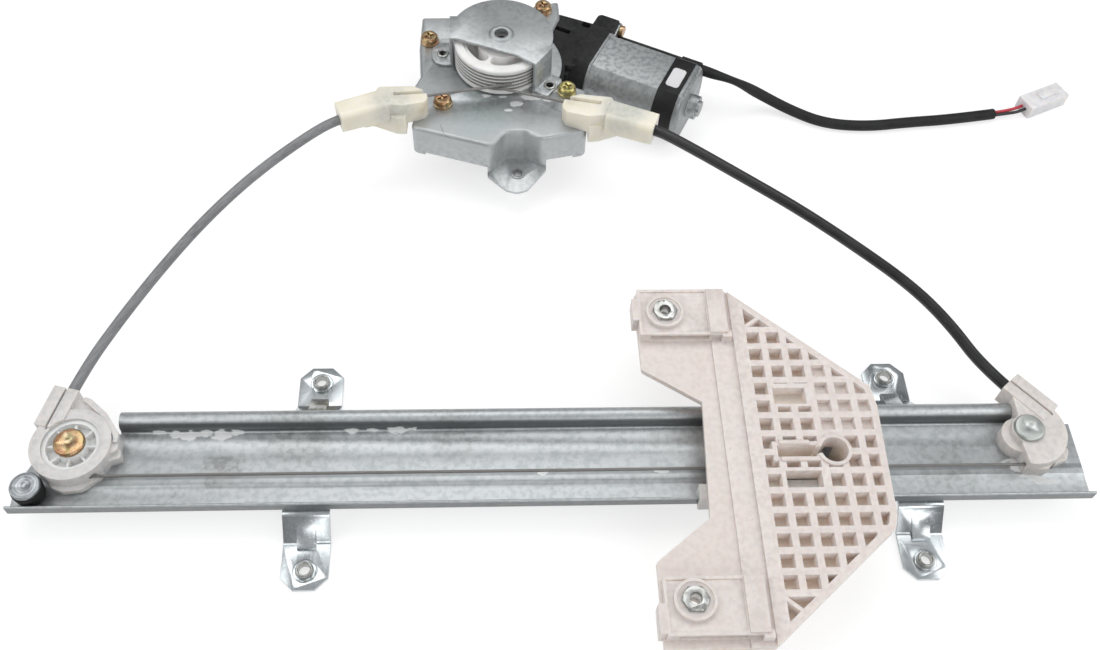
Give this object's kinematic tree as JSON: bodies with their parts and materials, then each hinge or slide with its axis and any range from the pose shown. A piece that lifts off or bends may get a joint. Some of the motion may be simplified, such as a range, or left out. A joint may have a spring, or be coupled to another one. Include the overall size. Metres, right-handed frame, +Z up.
{
  "type": "window regulator",
  "caption": "Electric cable window regulator: pressed guide rail with a sliding moulded lift plate, conduits and a worm geared motor with its drum.",
  "frame": {"origin": "middle of the four bracket nuts that bolt the rail to the door, in the plane that the brackets stand on", "axes": "+X along the guide rail towards its right end, +Y across towards the motor, +Z up from the door panel towards the glass"},
  "size_m": [0.5371, 0.3737, 0.057],
  "materials": {
    "rail_zinc": "satin zinc plate",
    "bracket_zinc": "bright zinc plate",
    "plate_zinc": "satin zinc plate",
    "natural_nylon": "satin",
    "white_nylon": "satin",
    "cream_nylon": "satin",
    "gear_nylon": "satin",
    "black_plastic": "fine grain",
    "can_steel": "satin",
    "band_black": "satin",
    "label_white": "bare",
    "yellow_zinc": "yellow zinc plate",
    "rivet_steel": "satin",
    "wire_rope": "stranded",
    "black_rubber": "matte",
    "conduit_grey": "satin",
    "conduit_black": "gloss",
    "lead_black": "satin",
    "wire_red": "gloss",
    "wire_black": "gloss",
    "connector_nylon": "satin",
    "terminal_brass": "bright",
    "inner_steel": "ground",
    "copper": "enamelled wire",
    "ferrite": "ground",
    "sintered_bronze": "porous"
  },
  "bodies": {
    "frame": {"guide_rail": "rail_zinc", "left_bracket": "bracket_zinc", "right_bracket": "bracket_zinc", "bracket_nuts": "bracket_zinc", "bumper_rubber": "black_rubber", "bumper_rivet": "rivet_steel", "left_pulley_housing": "white_nylon", "left_pulley_rivet": "yellow_zinc", "right_guide_housing": "white_nylon", "right_guide_rivet": "rivet_steel", "rail_cable": "wire_rope", "base_plate": "plate_zinc", "plate_screws": "yellow_zinc", "drum_cover": "plate_zinc", "cover_eyelets": "rivet_steel", "drum_axle": "inner_steel", "left_drum_cable": "wire_rope", "right_drum_cable": "wire_rope", "left_cable_guide": "cream_nylon", "right_cable_guide": "cream_nylon", "gearbox_housing": "black_plastic", "brush_holder": "black_plastic", "brushes": "ferrite", "magnets": "ferrite", "shaft_bushes": "sintered_bronze", "motor_can": "can_steel", "can_screws": "yellow_zinc", "can_band": "band_black", "band_label": "label_white", "left_conduit": "conduit_grey", "right_conduit": "conduit_black", "lead_sleeve": "lead_black", "red_wire": "wire_red", "black_wire": "wire_black", "connector_housing": "connector_nylon", "connector_terminals": "terminal_brass"},
    "pulley": {"left_pulley": "white_nylon"},
    "carrier": {"lift_plate": "natural_nylon", "lift_nuts": "bracket_zinc", "cable_nipples": "rivet_steel", "upper_shoe": "white_nylon", "lower_shoe": "white_nylon"},
    "drum": {"drum": "white_nylon", "drum_cable_wraps": "wire_rope", "worm_wheel": "gear_nylon", "rubber_damper": "black_rubber", "drive_plate": "inner_steel"},
    "armature": {"motor_shaft": "inner_steel", "worm": "inner_steel", "armature_core": "inner_steel", "armature_windings": "copper", "commutator": "copper"}
  },
  "joints": [
    {"name": "armature_spin", "type": "hinge", "parent": "frame", "child": "armature", "pos_m": [-0.03257, 0.25717, 0.018], "axis": [0.8905, -0.4551, 0], "range_deg": [-7848, 39672]},
    {"name": "drum_spin", "type": "hinge", "parent": "frame", "child": "drum", "pos_m": [-0.0485, 0.226, 0.03], "axis": [0, 0, 1], "range_deg": [-132, 662]},
    {"name": "carrier_slide", "type": "slide", "parent": "frame", "child": "carrier", "axis": [1, 0, 0], "range_m": [-0.2775, 0.0555]},
    {"name": "pulley_spin", "type": "hinge", "parent": "frame", "child": "pulley", "pos_m": [-0.236, 0.0042, 0.0189], "axis": [0, 0, 1], "range_deg": [-1210, 245]}
  ],
  "couplings": [
    {"joint": "drum_spin", "follows": "armature_spin", "ratio": 0.016667},
    {"joint": "carrier_slide", "follows": "armature_spin", "m_per_rad": -0.0004},
    {"joint": "pulley_spin", "follows": "armature_spin", "ratio": -0.030303}
  ]
}
